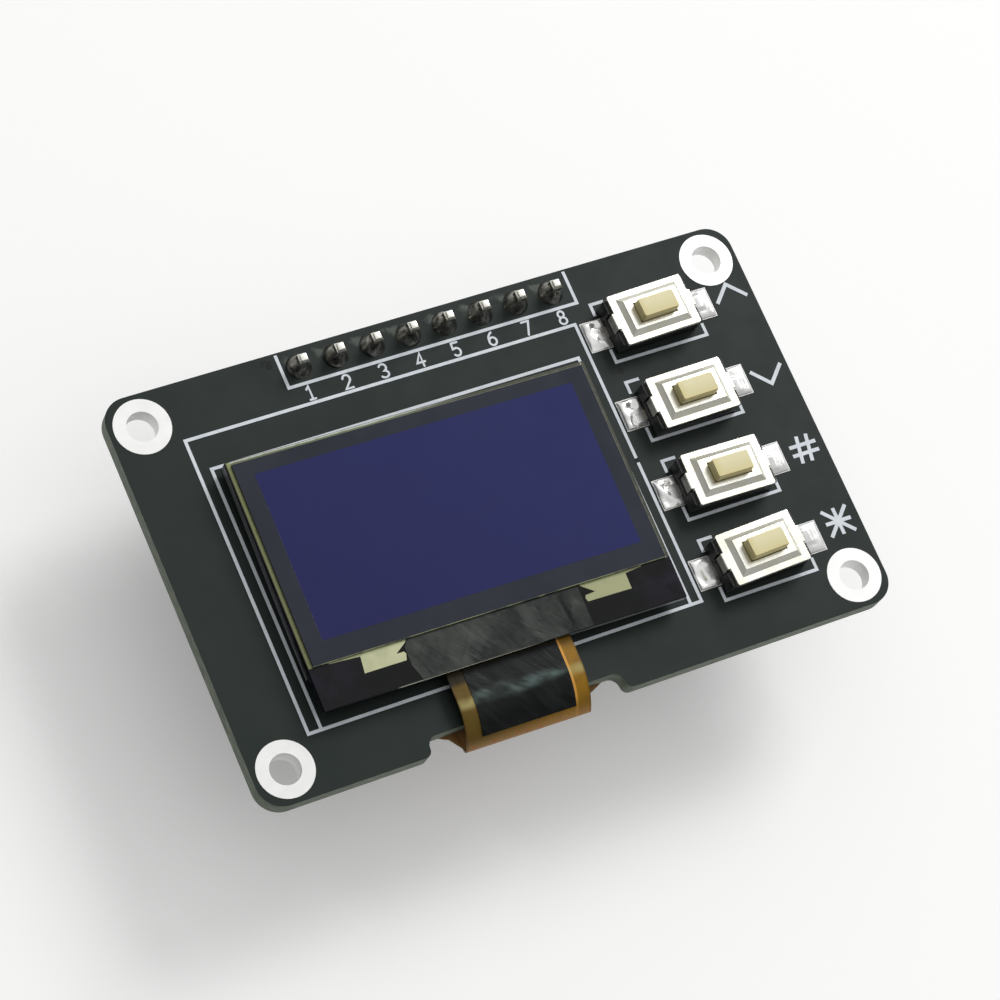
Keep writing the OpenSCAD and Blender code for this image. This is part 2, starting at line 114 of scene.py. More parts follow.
class Nodes:
    """Short calls for building one node tree."""

    def __init__(self, tree):
        self.tree = tree

    def add(self, kind, inputs=(), **props):
        """A node with its properties and inputs set. An input that is a socket is linked."""
        n = self.tree.nodes.new(kind)
        for k, v in props.items():
            setattr(n, k, v)
        for key, v in dict(inputs).items():
            if isinstance(v, bpy.types.NodeSocket):
                self.tree.links.new(v, n.inputs[key])
            else:
                n.inputs[key].default_value = v
        return n

    def math(self, op, a, b=0.0):
        return self.add("ShaderNodeMath", {0: a, 1: b}, operation=op).outputs[0]

    def vector(self, op, a, b, output=0):
        return self.add("ShaderNodeVectorMath", {0: a, 1: b}, operation=op).outputs[output]

    def plus(self, a, b):
        return self.math("ADD", a, b)

    def minus(self, a, b):
        return self.math("SUBTRACT", a, b)

    def times(self, a, *factors):
        for b in factors:
            a = self.math("MULTIPLY", a, b)
        return a

    def away(self, v, middle):
        """How far a value is from a middle one."""
        return self.math("ABSOLUTE", self.minus(v, middle))

    def repeat(self, v, step):
        """Place within a repeating step, from -0.5 to 0.5."""
        return self.minus(self.math("FRACT", self.math("DIVIDE", v, step)), 0.5)

    def mix(self, fac, a, b):
        return self.add("ShaderNodeMix", {"Factor": fac, 6: a, 7: b}, data_type="RGBA").outputs[2]

    def smooth(self, v, low, high, to_low=0.0, to_high=1.0):
        """Maps low..high to to_low..to_high with eased ends."""
        n = self.add(
            "ShaderNodeMapRange",
            {"Value": v, "From Min": low, "From Max": high, "To Min": to_low, "To Max": to_high},
            interpolation_type="SMOOTHSTEP",
        )
        return n.outputs[0]

    def coords(self, scale=(1, 1, 1), turn=0.0, shift=(0, 0, 0)):
        """Object coordinates in millimetres, shifted, turned about Z, then scaled."""
        tc = self.add("ShaderNodeTexCoord")
        v = self.vector("MULTIPLY", tc.outputs["Object"], (1 / MM, 1 / MM, 1 / MM))
        v = self.vector("SUBTRACT", v, shift)
        if turn:
            turned = self.add("ShaderNodeVectorRotate", {"Vector": v, "Angle": turn}, rotation_type="Z_AXIS")
            v = turned.outputs[0]
        return self.vector("MULTIPLY", v, scale)

    def noise(self, vector, scale, detail=3.0, rough=0.55, distort=0.0):
        n = self.add(
            "ShaderNodeTexNoise",
            {"Vector": vector, "Scale": scale, "Detail": detail, "Roughness": rough, "Distortion": distort},
        )
        return n.outputs["Fac"]

    def patches(self, vector, scale, detail, low=0.0, high=1.0):
        """Soft patches that range from low to high."""
        return self.smooth(self.noise(vector, scale, detail), 0.3, 0.7, low, high)

    def wander(self, vector, scale, detail, size):
        """Noise about zero, to make an edge ragged."""
        return self.times(self.minus(self.noise(vector, scale, detail), 0.5), size)

    def split(self, vector):
        """The three parts of a vector."""
        return self.add("ShaderNodeSeparateXYZ", {0: vector}).outputs[:]

    def panel(self):
        """Millimetres across and along the display glass, and the height."""
        return self.split(self.coords((1, 1, 1), -PANEL_TURN, (*PANEL_AT, 0)))

    def switch(self):
        """Millimetres along and across a switch and above the board, stored by soften()."""
        return self.split(self.add("ShaderNodeAttribute", attribute_name="key_local").outputs["Vector"])


def new_material(name, metal=0.0, rough=0.5, ior=1.5, **sockets):
    """A material with one Principled shader. Further sockets are named with underscores."""
    m = bpy.data.materials.new(name)
    m.use_nodes = True
    t = m.node_tree
    for n in list(t.nodes):
        t.nodes.remove(n)
    nd = Nodes(t)
    bsdf = nd.add("ShaderNodeBsdfPrincipled", {"Metallic": metal, "Roughness": rough, "IOR": ior})
    for k, v in sockets.items():
        bsdf.inputs[k.replace("_", " ")].default_value = v
    out = nd.add("ShaderNodeOutputMaterial")
    t.links.new(bsdf.outputs[0], out.inputs[0])
    return m, nd, bsdf


def wire(nd, bsdf, color, rough=None, bump=None, depth=0.005, metal=None):
    """Links what varies into the shader. Depth is the bump's height in millimetres."""
    for value, socket in ((color, "Base Color"), (rough, "Roughness"), (metal, "Metallic")):
        if value is not None:
            nd.tree.links.new(value, bsdf.inputs[socket])
    if bump is not None:
        b = nd.add("ShaderNodeBump", {"Strength": 1.0, "Distance": depth * MM, "Height": bump})
        nd.tree.links.new(b.outputs[0], bsdf.inputs["Normal"])


# ---------------------------------------------------------------- materials: board and header

def flux_blots(nd, v, x, y):
    """Flux that dried up and to the left of each pin."""
    last = PIN_X0 + PITCH * (PIN_COUNT - 1)
    across = nd.times(nd.repeat(nd.minus(x, PIN_X0 - 0.75 - PITCH / 2), PITCH), PITCH)
    up = nd.minus(y, PIN_Y + 0.5)
    slant = nd.plus(across, nd.times(up, 0.6))
    reach = nd.math("SQRT", nd.plus(nd.times(slant, slant), nd.times(up, up, 1.6)))
    ragged = nd.times(nd.minus(nd.noise(v, 1.5, 4, distort=0.6), 0.5), 1.5)
    blot = nd.smooth(nd.plus(reach, ragged), 0.1, 0.62, 1.0, 0.0)
    after_first = nd.smooth(x, PIN_X0 - 1.07, PIN_X0 - 0.57)
    before_last = nd.smooth(x, last - 0.15, last + 0.45, 1.0, 0.0)
    return nd.times(blot, after_first, before_last)


def dark_spot_mark(nd, v, x, y):
    """Small dark spot beside the header's printed frame."""
    sx, sy = nd.minus(x, DARK_SPOT_AT[0]), nd.minus(y, DARK_SPOT_AT[1])
    reach = nd.plus(nd.plus(nd.times(sx, sx), nd.times(sy, sy)), nd.wander(v, 4.0, 4, 0.7))
    return nd.smooth(reach, 0.05, 0.16, 1.0, 0.0)


def filled_vias(nd, v):
    """Filled holes under the mask."""
    spots = []
    for px, py in VIAS:
        reach = nd.vector("DISTANCE", v, (px, py, TOP), "Value")
        spots.append(nd.smooth(reach, 0.16, 0.3, 1.0, 0.0))
    return nd.math("MAXIMUM", *spots)


def make_mask():
    """Satin solder mask: soft clouding, flux by each pin, a small dark spot and two filled holes."""
    m, nd, bsdf = new_material("mask_satin", rough=0.5, Specular_IOR_Level=0.16)
    v = nd.coords()
    x, y, z = nd.split(v)
    front = nd.smooth(z, TOP - 0.2, TOP - 0.1)
    blot = nd.times(flux_blots(nd, v, x, y), front)
    dark_spot = nd.times(dark_spot_mark(nd, v, x, y), front)
    color = nd.mix(nd.patches(v, 0.16, 3), srgb(34, 43, 40), srgb(39, 47, 44))
    color = nd.mix(nd.times(blot, 0.45), color, srgb(112, 116, 108))
    color = nd.mix(nd.times(dark_spot, 0.7), color, srgb(12, 14, 14))
    color = nd.mix(nd.times(filled_vias(nd, v), 0.6), color, srgb(14, 18, 17))
    rough = nd.minus(nd.patches(v, 0.5, 3, 0.46, 0.54), nd.times(blot, 0.2))
    peel = nd.plus(nd.noise(v, 7.0, 3), nd.times(blot, 3.0))
    wire(nd, bsdf, color, rough, peel, 0.003)
    return m


def make_fibreglass():
    """Cut glass-fibre edge: layers along the board with a ragged grain."""
    m, nd, bsdf = new_material("edge_fibreglass", rough=0.7)
    layers = nd.smooth(nd.noise(nd.coords((1, 1, 9)), 1.1, 4), 0.35, 0.65)
    color = nd.mix(layers, srgb(84, 98, 84), srgb(132, 138, 122))
    wire(nd, bsdf, color, None, nd.noise(nd.coords((1, 1, 5)), 6.0, 4), 0.012)
    return m


def make_tin():
    """Tinned copper: near white, with a soft hammered surface."""
    m, nd, bsdf = new_material("tin_bright", metal=0.25, rough=0.4)
    v = nd.coords()
    color = nd.mix(nd.patches(v, 0.5, 2), srgb(236, 236, 234), srgb(244, 244, 242))
    wire(nd, bsdf, color, nd.patches(v, 1.6, 3, 0.34, 0.46), nd.noise(v, 1.0, 2), 0.003)
    return m


def make_pin():
    """Plated pin: bright cut end, its flanks darkened brown with painted shade."""
    m, nd, bsdf = new_material("pin_plated", metal=0.8, rough=0.25)
    v = nd.coords()
    z = nd.split(v)[2]
    clean = nd.mix(nd.noise(v, 1.2, 2), srgb(232, 230, 216), srgb(252, 251, 244))
    # painted shade: the pin's flanks below the cut end darken to brown
    painted_shade_flank = nd.smooth(nd.plus(z, nd.wander(v, 2.0, 2, 0.16)), 2.42, 2.56, 1.0, 0.0)
    painted_shade_flank = nd.times(painted_shade_flank, nd.smooth(z, TOP - 0.2, TOP + 0.1))
    color = nd.mix(nd.times(painted_shade_flank, 0.85), clean, srgb(98, 90, 66))
    wire(nd, bsdf, color, nd.patches(v, 1.6, 2, 0.2, 0.32))
    return m


def make_pin_solder():
    """Glossy dark solder: rippled, with dull skin in patches."""
    m, nd, bsdf = new_material("solder_dark", metal=1.0, rough=0.24)
    v = nd.coords()
    skin = nd.smooth(nd.noise(v, 1.6, 3, 0.5, 0.5), 0.35, 0.65)
    color = nd.mix(skin, srgb(112, 110, 104), srgb(146, 145, 138))
    wire(nd, bsdf, color, nd.patches(v, 3.3, 3, 0.24, 0.36), nd.noise(v, 1.8, 2, 0.5, 0.5), 0.015)
    return m


# ---------------------------------------------------------------- materials: display panel

def make_active():
    """Unlit display field: dull blue with the faint mesh of its cells."""
    m, nd, bsdf = new_material("field_blue", rough=0.12, Specular_IOR_Level=0.25)
    v = nd.coords()
    x, y = nd.panel()[:2]
    lines = [nd.smooth(nd.math("ABSOLUTE", nd.repeat(c, FIELD_X / FIELD_CELLS)), 0.34, 0.46) for c in (x, y)]
    mesh = nd.math("MAXIMUM", *lines)
    side = nd.smooth(nd.plus(x, nd.times(y, 0.9)), -13.0, 13.0)
    color = nd.mix(side, srgb(32, 33, 87), srgb(36, 43, 98))
    color = nd.mix(nd.patches(v, 0.25, 2, 0.0, 0.4), color, srgb(34, 36, 90))
    color = nd.mix(nd.times(mesh, 0.25), color, srgb(26, 28, 72))
    wire(nd, bsdf, color, nd.patches(v, 0.3, 2, 0.1, 0.14), mesh, 0.0005)
    return m


def make_polarizer():
    """Dark satin film with a painted highlight: a pale line along its cut lower edge."""
    m, nd, bsdf = new_material("film_dark", rough=0.14, Specular_IOR_Level=0.25)
    v = nd.coords()
    y = nd.panel()[1]
    color = nd.mix(nd.patches(v, 0.2, 3), srgb(37, 41, 52), srgb(43, 47, 58))
    # painted highlight: a pale line along the film's cut lower edge, broken up in places
    broken = nd.smooth(nd.noise(nd.coords((1, 0.2, 0.2)), 0.7, 3), 0.4, 0.6, 0.15, 0.75)
    edge = nd.times(nd.smooth(y, FILM_LOW + 0.015, FILM_LOW + 0.045, 1.0, 0.0), broken)
    color = nd.mix(edge, color, srgb(176, 184, 138))
    wire(nd, bsdf, color, nd.patches(v, 0.4, 2, 0.12, 0.16), nd.noise(v, 1.0, 2), 0.0005)
    return m


def make_front_glass():
    """Clear ledge over a black board: near black, violet at the outer corners, and a painted highlight on its
    lip by the tape.
    """
    m, nd, bsdf = new_material("glass_ledge", rough=0.12, ior=1.52, Specular_IOR_Level=0.2)
    v = nd.coords()
    x, y, z = nd.panel()
    corner = nd.smooth(nd.math("ABSOLUTE", x), 8.0, 12.2)
    corner = nd.times(corner, nd.smooth(nd.noise(v, 0.5, 3), 0.35, 0.65))
    color = nd.mix(nd.times(corner, 0.6), srgb(8, 10, 9), srgb(36, 30, 50))
    # painted highlight: a pale line on the glass's lower lip over the tape
    painted_lip_highlight = nd.smooth(y, 0.015 - GLASS_Y / 2, 0.05 - GLASS_Y / 2, 1.0, 0.0)
    painted_lip_highlight = nd.times(painted_lip_highlight, nd.smooth(z, GLASS_Z - 0.08, GLASS_Z - 0.04))
    painted_lip_highlight = nd.times(painted_lip_highlight, nd.times(nd.smooth(x, -7.6, -7.2), nd.smooth(x, 0.5, 2.8, 1.0, 0.0)))
    color = nd.mix(painted_lip_highlight, color, srgb(196, 200, 178))
    wire(nd, bsdf, color, nd.patches(v, 1.0, 3, 0.08, 0.18), nd.noise(v, 2.0, 2), 0.001)
    return m


def make_rim():
    """Bare rim of the glass: yellow-green on the left, thin pale lines in olive elsewhere. The lines are the
    glass edge's own tint with painted highlight, fading towards the bottom on the left.
    """
    m, nd, bsdf = new_material("glass_rim", rough=0.3, Specular_IOR_Level=0.3)
    v = nd.coords()
    x, y = nd.panel()[:2]
    grain = nd.noise(v, 2.2, 4)
    shake = nd.times(nd.minus(grain, 0.5), 0.06)
    from_left = nd.plus(nd.plus(x, GLASS_X / 2), shake)
    from_right = nd.plus(nd.minus(GLASS_X / 2, x), shake)
    from_top = nd.plus(nd.minus(GLASS_Y / 2, y), shake)
    # painted highlight on the rim's edges: pale lines over the glass edge's own tint; the left one dimmer
    # towards the bottom
    left = nd.mix(nd.smooth(from_left, 0.07, 0.15), srgb(78, 70, 44), srgb(150, 157, 104))
    left = nd.mix(nd.smooth(y, -5.5, 7.5, 0.35, 0.0), left, srgb(118, 120, 84))
    right = nd.mix(nd.smooth(from_right, 0.2, 0.27), srgb(55, 58, 46), srgb(158, 162, 130))
    top_far = nd.mix(nd.smooth(from_top, 0.1, 0.15), srgb(198, 202, 190), srgb(112, 118, 88))
    top_near = nd.mix(nd.smooth(from_top, 0.2, 0.25), srgb(58, 62, 46), srgb(150, 154, 122))
    top = nd.mix(nd.smooth(x, -3.0, 5.0), top_far, top_near)
    film_end = FILM_X / 2
    on_top = nd.smooth(y, FILM_HIGH - 0.01, FILM_HIGH + 0.02)
    on_top = nd.times(on_top, nd.smooth(x, -film_end - 0.04, 0.02 - film_end))
    on_top = nd.times(on_top, nd.smooth(x, film_end - 0.02, film_end + 0.04, 1.0, 0.0))
    color = nd.mix(nd.smooth(x, 0.0, 1.0), left, right)
    color = nd.mix(on_top, color, top)
    color = nd.mix(nd.smooth(grain, 0.4, 0.75, 0.0, 0.3), color, srgb(96, 98, 72))
    wire(nd, bsdf, color, None, grain, 0.004)
    return m


def make_traces():
    """Fine pale conductors that run side by side under the glass."""
    m, nd, bsdf = new_material("conductors_pale", metal=0.2, rough=0.4)
    x, y = nd.panel()[:2]
    step = 0.09
    gap = nd.smooth(nd.math("ABSOLUTE", nd.repeat(nd.plus(x, nd.times(y, 0.25)), step)), 0.38, 0.5)
    color = nd.mix(nd.smooth(x, -5.0, 5.0), srgb(190, 192, 152), srgb(156, 158, 116))
    blotches = nd.smooth(nd.noise(nd.coords(), 0.9, 3), 0.35, 0.65, 0.0, 0.3)
    color = nd.mix(blotches, color, srgb(146, 150, 110))
    color = nd.mix(nd.times(gap, 0.22), color, srgb(80, 78, 58))
    wire(nd, bsdf, color, None, gap, 0.004)
    return m


def make_tape(name, dark, light, painted_highlight, rough, patch, level):
    """Thin tape pressed down by hand: broad slanting creases, with painted highlight along their ridges."""
    m, nd, bsdf = new_material(name, rough=rough, Specular_IOR_Level=level)
    crease = nd.noise(nd.coords((0.45, 1.5, 1), CREASE_TURN), 0.8, 3, 0.5, 0.5)
    tone = nd.smooth(nd.noise(nd.coords(), patch, 3), 0.32, 0.68)
    color = nd.mix(tone, dark, light)
    # painted highlight along the crease ridges
    color = nd.mix(nd.times(nd.smooth(crease, 0.5, 0.66), 0.5), color, painted_highlight)
    wire(nd, bsdf, color, nd.patches(nd.coords(), 1.3, 3, rough - 0.08, rough + 0.08), crease, 0.06)
    return m, nd, bsdf, color


def make_ledge_tape():
    """Grey tape over the chip, darker past a crease near its right end, with painted shade along the crease.
    """
    m, nd, bsdf, color = make_tape(
        "tape_grey", srgb(34, 38, 36), srgb(62, 66, 62), srgb(78, 82, 78), 0.5, 0.45, 0.15)
    bend = nd.plus(nd.panel()[0], nd.wander(nd.coords(), 0.8, 2, 0.8))
    color = nd.mix(nd.smooth(bend, 3.6, 4.6, 0.0, 0.5), color, srgb(30, 32, 31))
    # painted shade: a dark line along the crease
    line = nd.smooth(nd.away(bend, 4.5), 0.04, 0.22, 0.6, 0.0)
    wire(nd, bsdf, nd.mix(line, color, srgb(12, 13, 13)))
    return m


def make_cable_tape():
    """Black tape on the cable: soft diagonal streaks and a painted highlight band where the fold starts."""
    m, nd, bsdf, color = make_tape(
        "tape_black", srgb(6, 8, 8), srgb(14, 17, 16), srgb(34, 40, 38), 0.42, 0.6, 0.18)
    v = nd.coords()
    y = nd.split(v)[1]
    # painted highlight: a pale band across the tape where the fold starts
    from_fold = nd.away(nd.plus(y, nd.wander(v, 0.5, 1, 1.0)), -11.4)
    broken = nd.smooth(nd.noise(nd.coords((0.5, 1.4, 1), 0.5), 1.0, 2), 0.35, 0.65, 0.15, 1.0)
    painted_highlight_band = nd.times(nd.smooth(from_fold, 0.0, 0.6, 1.0, 0.0), broken)
    wire(nd, bsdf, nd.mix(nd.times(painted_highlight_band, 0.75), color, srgb(96, 114, 110)))
    return m


def make_flex():
    """Amber film over copper: olive on the left, golden on the right, a lighter brown painted round the turn
    to lift its shade, painted highlights, and painted shade in brown behind the turn.
    """
    m, nd, bsdf = new_material("film_amber", rough=0.3, Specular_IOR_Level=0.2)
    v = nd.coords()
    x, y, z = nd.panel()
    front = nd.smooth(z, 0.2, 0.8)
    cloud = nd.noise(v, 1.0, 3)
    color = nd.mix(nd.smooth(x, -3.6, 3.8), srgb(98, 78, 22), srgb(156, 114, 22))
    color = nd.mix(nd.smooth(cloud, 0.35, 0.65, 0.0, 0.45), color, srgb(112, 84, 34))
    # the turn gets a lighter colour, painted light that lifts its shade; the copper lines show through the
    # film there as reddish spots
    turn = nd.smooth(z, 0.1, 1.2, 1.0, 0.0)
    color = nd.mix(nd.times(turn, 0.8), color, srgb(190, 146, 92))
    spots = nd.times(nd.smooth(nd.noise(nd.coords((1, 0.5, 0.5)), 2.6, 3), 0.54, 0.64), turn)
    color = nd.mix(nd.times(spots, 0.65), color, srgb(184, 92, 40))
    # painted highlight: a bright line beside the tape
    line = nd.smooth(nd.away(x, 3.38), 0.05, 0.16, 1.0, 0.0)
    line = nd.times(line, nd.smooth(z, 1.0, 1.5, 0.25, 0.9))
    color = nd.mix(line, color, srgb(228, 166, 76))
    # painted highlight across the cable where the fold starts
    painted_highlight = nd.smooth(nd.away(y, -10.35), 0.1, 0.5, 1.0, 0.0)
    painted_highlight = nd.times(painted_highlight, nd.smooth(cloud, 0.35, 0.6, 0.5, 1.0), front)
    color = nd.mix(nd.times(painted_highlight, 0.55), color, srgb(196, 186, 126))
    # dark cut edges, and the ledge's shade on the left
    edge = nd.smooth(nd.away(x, CABLE_MID), 4.08, 4.24)
    color = nd.mix(nd.times(edge, 0.45), color, srgb(80, 56, 20))
    shade = nd.times(nd.smooth(x, -3.0, -3.2), nd.smooth(y, -9.3, -8.9), front)
    color = nd.mix(nd.times(shade, 0.85), color, srgb(20, 16, 8))
    # painted shade: darker brown on the part behind the board
    painted_shade_behind = nd.smooth(z, -0.06, 0.02, 1.0, 0.0)
    color = nd.mix(nd.times(painted_shade_behind, 0.5), color, srgb(92, 62, 28))
    wire(nd, bsdf, color, nd.patches(v, 2.0, 3, 0.26, 0.4), cloud, 0.02)
    return m


# ---------------------------------------------------------------- materials: switches

def make_pad_solder():
    """Bright solder: brownish specks towards the foot on the left, plain light grey on the right."""
    m, nd, bsdf = new_material("solder_bright", metal=0.75, rough=0.22)
    v = nd.coords()
    x = nd.split(v)[0]
    left_end, right_end = 13.0, 15.0
    color = nd.mix(nd.smooth(x, left_end, right_end), srgb(250, 250, 248), srgb(206, 207, 205))
    blotches = nd.smooth(nd.noise(v, 2.2, 4, 0.6, 0.8), 0.57, 0.68)
    blotches = nd.times(blotches, nd.smooth(x, 10.1, 10.7), nd.smooth(x, left_end, right_end, 0.8, 0.15))
    color = nd.mix(blotches, color, srgb(120, 111, 88))
    metal = nd.smooth(x, left_end, right_end, 0.75, 0.25)
    wire(nd, bsdf, color, nd.patches(v, 1.6, 3, 0.2, 0.3), nd.noise(v, 1.5, 2), 0.002, metal)
    return m


def make_steel():
    """Pale plated sheet with a very fine drawn grain, less metallic on the sides of the raised middle, with
    painted shade on those sides and on the lugs' outer faces.
    """
    m, nd, bsdf = new_material("sheet_pale", metal=0.85, rough=0.22)
    grain = nd.noise(nd.coords((0.6, 5, 5)), 5.0, 3)
    color = nd.mix(nd.patches(nd.coords(), 0.6, 3), srgb(233, 231, 215), srgb(243, 242, 234))
    u, w, h = nd.switch()
    # painted shade on the outer faces of the end lugs
    painted_shade_lug = nd.times(nd.smooth(nd.math("ABSOLUTE", u), 2.8, 2.85), nd.smooth(h, 1.5, 1.58, 1.0, 0.0))
    color = nd.mix(nd.times(painted_shade_lug, 0.85), color, srgb(52, 52, 48))
    # sides of the raised middle: painted shade, heavier on the far and the right ones than on the others
    slope = nd.times(nd.smooth(h, 1.66, 1.7), nd.smooth(h, 1.9, 1.94, 1.0, 0.0))
    painted_side_shade = nd.smooth(nd.plus(nd.times(u, 0.55), w), -0.1, 0.1, 0.1, 0.5)
    color = nd.mix(nd.times(slope, painted_side_shade), color, srgb(176, 174, 158))
    metal = nd.smooth(slope, 0.0, 1.0, 0.85, 0.4)
    wire(nd, bsdf, color, nd.smooth(grain, 0.3, 0.7, 0.2, 0.27), grain, 0.001, metal)
    return m


def make_button():
    """Cream moulding with painted light and shade: golden olive towards two of its edges, paler towards the
    far side, darker at the foot.
    """
    m, nd, bsdf = new_material("moulded_cream", rough=0.42, Specular_IOR_Level=0.35)
    v = nd.coords()
    u, w, h = nd.switch()
    ragged = nd.wander(v, 0.8, 2, 0.3)
    near_u = nd.smooth(nd.plus(u, ragged), -1.3, -0.65, 1.0, 0.0)
    near_w = nd.smooth(nd.plus(w, ragged), -0.66, -0.25, 1.0, 0.0)
    # painted shade: golden olive towards the left and near edges
    painted_edge_shade = nd.math("MAXIMUM", near_u, nd.times(near_w, 0.85))
    # painted light: paler towards the far side
    color = nd.mix(nd.smooth(w, -0.5, 0.6), srgb(222, 212, 162), srgb(234, 226, 182))
    color = nd.mix(nd.times(painted_edge_shade, 0.6), color, srgb(216, 201, 136))
    # painted shade: darker at the foot
    foot = nd.smooth(h, 1.9, 2.02, 1.0, 0.0)
    color = nd.mix(nd.times(foot, 0.6), color, srgb(120, 108, 70))
    wire(nd, bsdf, color, nd.patches(v, 2, 3, 0.36, 0.48), nd.noise(v, 9, 3), 0.002)
    return m


# ---------------------------------------------------------------- materials: plain finishes

def speckled(name, dark, light, rough, metal=0.0, patch=0.6, grain=12.0, depth=0.004):
    """Patchy colour between two tones, uneven roughness and a fine grain."""
    m, nd, bsdf = new_material(name, metal=metal, rough=rough[0])
    v = nd.coords()
    tone = nd.smooth(nd.noise(v, patch, 4), 0.3, 0.7)
    fine = nd.noise(v, grain, 2)
    mixed = nd.mix(tone, srgb(*dark), srgb(*light))
    shade = nd.smooth(fine, 0.25, 0.75, 0.94, 1.04)
    color = nd.add("ShaderNodeVectorMath", {0: mixed, "Scale": shade}, operation="SCALE").outputs[0]
    wire(nd, bsdf, color, nd.patches(v, patch * 3, 3, *rough), fine, depth)
    return m


# slot: name, dark tone, light tone, range of roughness, what differs from a usual finish
PLAIN = {
    "print_ink": ("ink_white", (212, 219, 226), (226, 231, 237), (0.55, 0.65),
                  {"patch": 1.2, "depth": 0.003}),
    "header_plastic": ("strip_black", (20, 20, 21), (30, 30, 31), (0.4, 0.5), {"grain": 9, "depth": 0.006}),
    "foam": ("foam_black", (10, 10, 10), (18, 18, 18), (0.85, 0.95),
             {"patch": 3, "grain": 20, "depth": 0.03}),
    "back_glass": ("glass_back", (11, 12, 12), (18, 20, 18), (0.14, 0.22),
                   {"patch": 0.8, "grain": 4, "depth": 0.001}),
    "silicon": ("chip_bare", (20, 20, 22), (30, 30, 34), (0.2, 0.3),
                {"patch": 0.8, "grain": 5, "depth": 0.001}),
    "switch_base": ("base_black", (12, 14, 13), (20, 22, 21), (0.42, 0.55), {"patch": 1.2}),
    "spring_steel": ("dome_steel", (190, 190, 186), (214, 214, 210), (0.25, 0.35), {"metal": 1.0}),
    "contact_metal": ("strip_plated", (176, 170, 152), (206, 201, 186), (0.3, 0.42),
                      {"metal": 0.7, "patch": 1.6, "grain": 10}),
    "chip_black": ("package_black", (22, 22, 23), (32, 32, 33), (0.5, 0.62),
                   {"patch": 1.5, "grain": 14, "depth": 0.008}),
    "capacitor_ceramic": ("ceramic_tan", (146, 118, 88), (170, 142, 110), (0.4, 0.5),
                          {"patch": 2.5, "grain": 14, "depth": 0.006}),
    "resistor_black": ("ceramic_black", (18, 18, 19), (28, 28, 30), (0.3, 0.4), {"patch": 2.5, "grain": 14}),
}

MAT = {
    "solder_mask": make_mask(),
    "fibreglass": make_fibreglass(),
    "tinned_copper": make_tin(),
    "pin_metal": make_pin(),
    "dark_solder": make_pin_solder(),
    "bright_solder": make_pad_solder(),
    "front_glass": make_front_glass(),
    "polarizer_film": make_polarizer(),
    "display_field": make_active(),
    "thin_metal_traces": make_traces(),
    "dark_tape": make_ledge_tape(),
    "polyimide": make_flex(),
    "cable_tape": make_cable_tape(),
    "switch_cover": make_steel(),
    "switch_button": make_button(),
}
MAT.update({slot: speckled(*finish, **more) for slot, (*finish, more) in PLAIN.items()})

for node, solid in NODES.items():
    for i in range(len(solid.data.materials)):
        solid.data.materials[i] = MAT[SLOT_OF[node]]


# ---------------------------------------------------------------- mesh helpers

def on_panel(x, y, z):
    """A point in the glass's own turned coordinates, as board coordinates, in millimetres."""
    c, s = math.cos(PANEL_TURN), math.sin(PANEL_TURN)
    return Vector((PANEL_AT[0] + c * x - s * y, PANEL_AT[1] + s * x + c * y, z))


def make_piece(name, bm, material, body="module", smooth=40.0, replaces=()):
    """Turns a bmesh in millimetres into a riding piece."""
    bmesh.ops.recalc_face_normals(bm, faces=bm.faces)
    bm.transform(Matrix.Scale(MM, 4))
    for f in bm.faces:
        f.smooth = True
    for e in bm.edges:
        if len(e.link_faces) == 2 and e.calc_face_angle(0) > math.radians(smooth):
            e.smooth = False
    mesh = bpy.data.meshes.new(name)
    bm.to_mesh(mesh)
    bm.free()
    mesh.materials.append(material)
    obj = bpy.data.objects.new(name, mesh)
    SCENE.collection.objects.link(obj)
    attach(obj, body)
    if replaces:
        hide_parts(*replaces)
    return obj


def cad_bmesh(node):
    """A merged copy of a solid's mesh in millimetres, flat faces joined."""
    bm = bmesh.new()
    bm.from_mesh(NODES[node].data)
    bm.transform(Matrix.Scale(1 / MM, 4))
    bmesh.ops.remove_doubles(bm, verts=bm.verts, dist=0.0005)
    bmesh.ops.dissolve_limit(bm, angle_limit=math.radians(0.6), verts=bm.verts, edges=bm.edges)
    return bm


def soften(node, width, segments=2, local=None):
    """Stands for a solid with its sharp edges broken, as moulding, pressing or cutting leaves them.
    With local, a matrix, each point keeps its place in that frame for the material."""
    bm = cad_bmesh(node)
    sharp = [e for e in bm.edges if len(e.link_faces) == 2 and e.calc_face_angle(0) > math.radians(28)]
    bmesh.ops.bevel(bm, geom=sharp, offset=width, segments=segments, profile=0.5,
                    affect="EDGES", clamp_overlap=True)
    if local is not None:
        layer = bm.verts.layers.float_vector.new("key_local")
        for v in bm.verts:
            v[layer] = local @ v.co
    slot = SLOT_OF[node]
    obj = make_piece(node + "_eased", bm, MAT[slot], NODES[node]["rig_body"], 50, (node,))
    mod = obj.modifiers.new("even_normals", "WEIGHTED_NORMAL")
    mod.keep_sharp = True


def prism(bm, low, high):
    """Walls between two matching loops, with both ends closed."""
    bm.faces.new(high)
    bm.faces.new(low[::-1])
    for i, a in enumerate(low):
        j = (i + 1) % len(low)
        bm.faces.new((a, low[j], high[j], high[i]))


